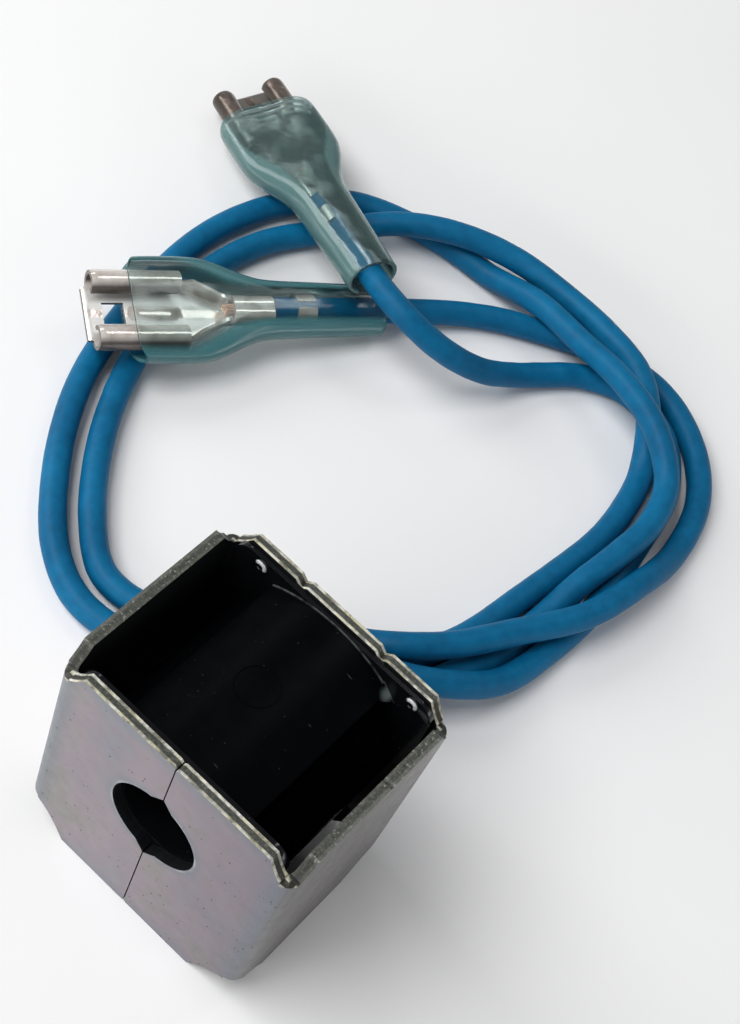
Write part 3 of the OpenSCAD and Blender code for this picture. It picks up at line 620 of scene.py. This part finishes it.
def receptacle(i, mat):
    s_rows = sorted(set(np.round(np.concatenate([np.linspace(0, 0.5, 4), np.linspace(0.5, 1.7, 8), np.linspace(1.7, 3.8, 11),
                                                np.linspace(3.8, 9.2, 26), [9.35], np.linspace(9.35, 13.9, 26), [14.1], np.linspace(14.1, 18.2, 22),
                                                np.linspace(18.2, 20.4, 12), np.linspace(20.4, 22.4, 12)]), 4)))
    s_rows = np.array(s_rows)
    half = np.array([0, 0.10, 0.20, 0.30, 1.05 / 2.75, 0.47, 0.56, 0.67, 0.78, 0.90, 1.0])
    core_u = np.concatenate([-half[::-1], half[1:]])
    wing_u = np.linspace(0, 1, 34)[1:]
    rows, cols = len(s_rows), len(core_u) + 2 * len(wing_u)
    mid = np.zeros((rows, cols, 3))
    nor = np.zeros((rows, cols, 3))
    flat = np.zeros((rows, cols))
    for k, s in enumerate(s_rows):
        f, r, top, z0 = FLOOR_HW(s), CURL_R(s), CURL_MAX(s), FLOOR_Z(s)
        core, blank = CORE(s), max(BLANK(s), CORE(s) + 0.01)
        if s < 0.9:
            r = r * (1 - 0.05 * (0.9 - s) / 0.4)
        v = np.concatenate([-(core + wing_u[::-1] * (blank - core)), core_u * core, core + wing_u * (blank - core)])
        a = np.abs(v)
        th = np.clip((a - f) / r, 0, top)
        past = np.clip(a - f - r * top, 0, None)
        yy = np.minimum(a, f) + r * np.sin(th) + past * np.cos(th)
        zz = z0 + r * (1 - np.cos(th)) + past * np.sin(th)
        # lead-in of the tongue and a crowned floor
        zz = zz - 0.16 * np.clip((0.5 - s) / 0.5, 0, 1) ** 2
        if 1.0 < s < 8.6:
            zz = zz + 0.06 * np.exp(-(np.clip(a, 0, 2.75) / 1.5) ** 4) * math.sin(math.pi * (s - 1.0) / 7.6) * (a < f)
        # rounded rib along the floor behind the window
        zz = zz + 0.20 * np.exp(-(a / 0.8) ** 2) * np.clip((s - 4.2) / 0.8, 0, 1) * np.clip((9.4 - s) / 1.0, 0, 1) * (a < f)
        flat[k] = np.clip((0.92 * f - a) / 0.25, 0, 1) * np.clip((a - 0.55) / 0.3 + np.clip((4.4 - s) / 0.4, 0, 1) + np.clip((s - 9.2) / 0.4, 0, 1), 0, 1) * np.clip((13.8 - s) / 0.5, 0, 1)
        sg = np.sign(v)
        mid[k] = np.stack([np.full(cols, s), sg * yy, zz], 1)
        nor[k] = np.stack([np.zeros(cols), -sg * np.sin(th), np.cos(th)], 1)
    keep = np.ones((rows - 1, cols - 1), bool)
    sm = (s_rows[1:] + s_rows[:-1]) / 2
    wing_cells = np.zeros(cols - 1, bool)
    wing_cells[:len(wing_u)] = True
    wing_cells[-len(wing_u):] = True
    for a, b in WING_CUTS:
        keep[np.ix_((sm > a) & (sm < b), wing_cells)] = False
    um = np.zeros(cols - 1)
    lo = len(wing_u)
    um[lo:lo + len(core_u) - 1] = (core_u[1:] + core_u[:-1]) / 2 * 2.75
    keep[np.ix_((sm > WINDOW_S[0]) & (sm < WINDOW_S[1]), (~wing_cells) & (np.abs(um) < WINDOW_HW))] = False
    thick = np.interp(s_rows, [0, 14, 18.2, 20.2, 22.4], [0.40, 0.38, 0.36, 0.25, 0.25])[:, None] * np.ones(cols)
    world = place(i, mid.reshape(-1, 3)).reshape(mid.shape)
    wnor = nor @ FRAMES[i].T
    ob = sheet_solid(f"push_on_receptacle_{i + 1}", world, wnor, thick, keep, {"along": s_rows[:, None] * np.ones(cols), "flat": flat})
    add_bevel(ob, 0.07, 2, 40)
    sharp_by_angle(ob, 50)
    use(ob, mat)
    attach(ob, "coil")
    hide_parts(f"receptacle_{i + 1}")
    return ob


def strands(i):
    """Bundle of bare strands held in the wire crimp, their ends just clear of it."""
    verts, faces, along = [], [], []
    centres = [(0.0, 0.0)] + [(0.27 * math.cos(a), 0.27 * math.sin(a)) for a in np.linspace(0, 2 * math.pi, 6, endpoint=False)]
    centres += [(0.45 * math.cos(a), 0.45 * math.sin(a)) for a in np.linspace(0.2, 0.2 + 2 * math.pi, 11, endpoint=False)]
    sides = 8
    for k, (cy, cz) in enumerate(centres):
        s = np.linspace(13.45 - 0.18 * ((k * 7) % 5) / 4, LEAD_END + 0.2, 14)
        turn = (s - 16) * 0.16
        py, pz = cy * np.cos(turn) - cz * np.sin(turn), cy * np.sin(turn) + cz * np.cos(turn)
        base = len(verts)
        for j in range(len(s)):
            for m in range(sides):
                a = 2 * math.pi * m / sides
                verts.append([s[j], py[j] + 0.125 * math.cos(a), pz[j] + 0.125 * math.sin(a)])
                along.append(s[j])
        for j in range(len(s) - 1):
            for m in range(sides):
                a, b = base + j * sides + m, base + j * sides + (m + 1) % sides
                faces.append((a, b, b + sides, a + sides))
        faces.append(tuple(base + m for m in reversed(range(sides))))
        faces.append(tuple(base + (len(s) - 1) * sides + m for m in range(sides)))
    ob = new_mesh(f"bare_strands_{i + 1}", place(i, verts), faces, {"along": along})
    sharp_by_angle(ob, 60)
    use(ob, BARE)
    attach(ob, "coil")
    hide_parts(f"conductor_{i + 1}")
    return ob


# ---------------------------------------------------------------- sleeves
SLEEVE_HW = [(0, 5.16), (1.0, 5.22), (6.0, 5.22), (7.5, 5.05), (9.0, 4.55), (10.3, 4.00), (11.6, 3.45), (13.1, 3.02), (15.0, 2.85), (17.5, 2.78), (25.5, 2.56)]
SLEEVE_TOP = [(0, 1.50), (1.0, 1.53), (6.5, 1.53), (9.0, 1.62), (11.0, 1.76), (13.0, 1.93), (14.5, 1.98), (22.5, 1.98), (25.5, 1.92)]
SLEEVE_LOW = [(0, 1.98), (5.0, 2.05), (9.5, 2.08), (12.5, 2.01), (22.5, 1.97), (25.5, 1.92)]
SLEEVE_T = 0.36


def sleeve(i, mat):
    """Soft sleeve: flattened bell over the receptacle, round neck over the crimps, rounded lips."""
    sides = 72
    s_rows = np.concatenate([np.linspace(0, 1.2, 7), np.linspace(1.2, 8.2, 15)[1:], np.linspace(8.2, 17.5, 38)[1:], np.linspace(17.5, 25.5, 24)[1:]])
    hw = smooth_path([[p[0], p[1], 0] for p in SLEEVE_HW], 12)
    up = smooth_path([[p[0], p[1], 0] for p in SLEEVE_TOP], 12)
    low = smooth_path([[p[0], p[1], 0] for p in SLEEVE_LOW], 12)
    ang = np.linspace(0, 2 * math.pi, sides, endpoint=False)

    def ring(s, inset):
        w = np.interp(s, hw[:, 0], hw[:, 1]) - inset
        h = np.where(np.sin(ang) > 0, np.interp(s, up[:, 0], up[:, 1]), np.interp(s, low[:, 0], low[:, 1])) - inset
        e = np.interp(s, [0, 9.0, 13, 25.5], [0.70, 0.70, 0.86, 0.95])
        c, q = np.cos(ang), np.sin(ang)
        yy = w * np.sign(c) * np.abs(c) ** e
        zz = h * np.sign(q) * np.abs(q) ** e
        # the film sinks a little between the two rolled edges
        zz = zz - 0.22 * (q > 0.2) * np.exp(-(yy / 1.2) ** 2) * np.interp(s, [0, 1.5, 5.5, 8], [0.5, 1, 1, 0])
        back = 0.95 * np.clip(1 - s / 3.0, 0, 1) * np.abs(yy / w) ** 7
        lo = np.interp(s, [0, 5, 9.5, 14, 25.5], [0.78, 0.78, 0.46, 0.50, 0.52])
        return np.stack([s + back + EXPOSE[i], yy, zz], 1), np.clip((np.abs(yy) / w - lo) / 0.14, 0, 1)

    verts, along, flank, rows = [], [], [], []
    lip = [(SLEEVE_T * (0.5 - 0.5 * math.cos(a)), SLEEVE_T * 0.5 * math.sin(a)) for a in np.linspace(0, math.pi, 7)]
    for inset, out in lip[::-1][:-1]:
        rows.append((0.0, inset, -out))
    for s in s_rows:
        rows.append((s, 0.0, 0.0))
    for inset, out in lip[1:-1]:
        rows.append((25.5, inset, out * 0.35))
    for s in s_rows[::-1][:-1]:
        rows.append((s, SLEEVE_T, 0.0))
    for s, inset, shift in rows:
        r, side = ring(s, inset)
        r[:, 0] += shift
        flank.extend(side.tolist())
        verts.extend(r.tolist())
        along.extend([s] * sides)
    n = len(rows)
    faces = []
    for k in range(n):
        for j in range(sides):
            a, b = k * sides + j, k * sides + (j + 1) % sides
            c, d = ((k + 1) % n) * sides + (j + 1) % sides, ((k + 1) % n) * sides + j
            faces.append((a, b, c, d))
    ob = new_mesh(f"vinyl_sleeve_{i + 1}", place(i, verts), faces, {"along": along, "flank": flank})
    use(ob, mat)
    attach(ob, ("sleeve_one", "sleeve_two")[i])
    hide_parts(f"sleeve_{i + 1}")
    return ob


for i in range(2):
    shell = receptacle(i, (BROWN, TIN)[i])
    core = strands(i)
    cover = sleeve(i, (VINYL_B, VINYL_A)[i])
    lead, path = LEADS[i]


# ---------------------------------------------------------------- floor and light
def floor():
    n = 24
    span = 700.0
    v, f = [], []
    for j in range(n + 1):
        for k in range(n + 1):
            v.append([-20 + span * (k / n - 0.5), 30 + span * (j / n - 0.5), 0.0])
    for j in range(n):
        for k in range(n):
            a = j * (n + 1) + k
            f.append((a, a + 1, a + n + 2, a + n + 1))
    ob = new_mesh("studio_floor", v, f)
    g = Nodes("pale_floor")
    p = g.coord()
    mid = g.noise(p, 0.02, 2.0)
    b = g.principled(Base_Color=g.mix(mid, (0.88, 0.88, 0.88), (0.92, 0.92, 0.92)), Roughness=g.remap(mid, 0.3, 0.7, 0.7, 0.85))
    b.inputs["Specular IOR Level"].default_value = 0.1
    use(ob, g.surface(b.outputs[0]))


def softbox(name, at, to, size, watts, colour=(1, 1, 1)):
    d = bpy.data.lights.new(name, "AREA")
    d.shape = "RECTANGLE"
    d.size, d.size_y = size
    d.energy = watts
    d.color = colour
    ob = bpy.data.objects.new(name, d)
    scene.collection.objects.link(ob)
    at, to = np.array(at), np.array(to)
    z = (at - to) / np.linalg.norm(at - to)
    x = np.cross([0, 0, 1.0], z)
    x /= np.linalg.norm(x)
    m = np.eye(4)
    m[:3, 0], m[:3, 1], m[:3, 2], m[:3, 3] = x, np.cross(z, x), z, at
    ob.matrix_world = Matrix(m.tolist())
    return ob


floor()
softbox("key", (-0.20, -0.20, 0.52), (-0.02, 0.03, 0.0), (0.34, 0.34), 2.1)
softbox("front", (0.00, -0.50, 0.20), (-0.02, 0.02, 0.01), (0.90, 0.16), 1.4)
softbox("left", (-0.46, -0.05, 0.30), (-0.02, 0.03, 0.0), (0.20, 0.30), 1.0)
softbox("back", (0.04, 0.28, 0.42), (-0.03, 0.035, 0.0), (0.12, 0.12), 0.14)
softbox("back_left", (-0.36, 0.30, 0.40), (-0.04, 0.05, 0.0), (0.08, 0.08), 0.08)
softbox("right", (0.55, 0.22, 0.16), (0.0, 0.0, 0.02), (0.24, 0.20), 0.28)

world = bpy.data.worlds.new("studio")
scene.world = world
world.use_nodes = True
wt = world.node_tree
bg = wt.nodes["Background"]
tc = wt.nodes.new("ShaderNodeTexCoord")
sep = wt.nodes.new("ShaderNodeSeparateXYZ")
cr = wt.nodes.new("ShaderNodeValToRGB")
cr.color_ramp.elements[0].position = 0.0
cr.color_ramp.elements[0].color = (0.55, 0.56, 0.58, 1)
cr.color_ramp.elements[1].position = 0.75
cr.color_ramp.elements[1].color = (0.16, 0.16, 0.165, 1)
wt.links.new(tc.outputs["Generated"], sep.inputs[0])
wt.links.new(sep.outputs[2], cr.inputs["Fac"])
wt.links.new(cr.outputs["Color"], bg.inputs["Color"])
bg.inputs["Strength"].default_value = 0.8
